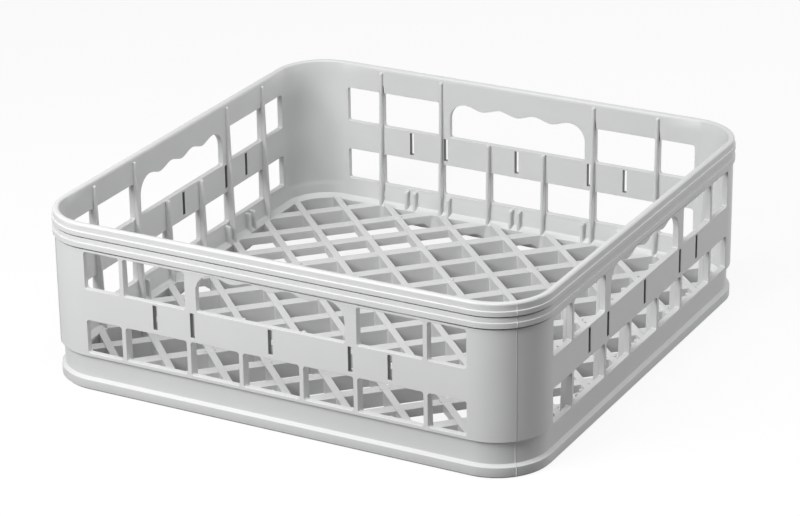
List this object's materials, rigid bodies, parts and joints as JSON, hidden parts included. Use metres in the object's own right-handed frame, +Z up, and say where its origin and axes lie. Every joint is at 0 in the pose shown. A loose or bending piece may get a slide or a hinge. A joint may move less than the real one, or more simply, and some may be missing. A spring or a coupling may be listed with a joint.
{
  "type": "dishwasher glass rack",
  "caption": "Square moulded plastic glass-washing rack: rounded corners, windowed walls, scalloped hand holds and an open diamond lattice floor that water drains through.",
  "frame": {"origin": "centre of the rack's footprint, on the plane of the foot's underside", "axes": "+Z up; +X along the front wall to the right, +Y from the front wall to the back wall"},
  "size_m": [0.35, 0.35, 0.115],
  "materials": {
    "grey_plastic": "satin moulded polypropylene, light grey"
  },
  "bodies": {
    "root": {"glass_rack": "grey_plastic"}
  },
  "joints": []
}
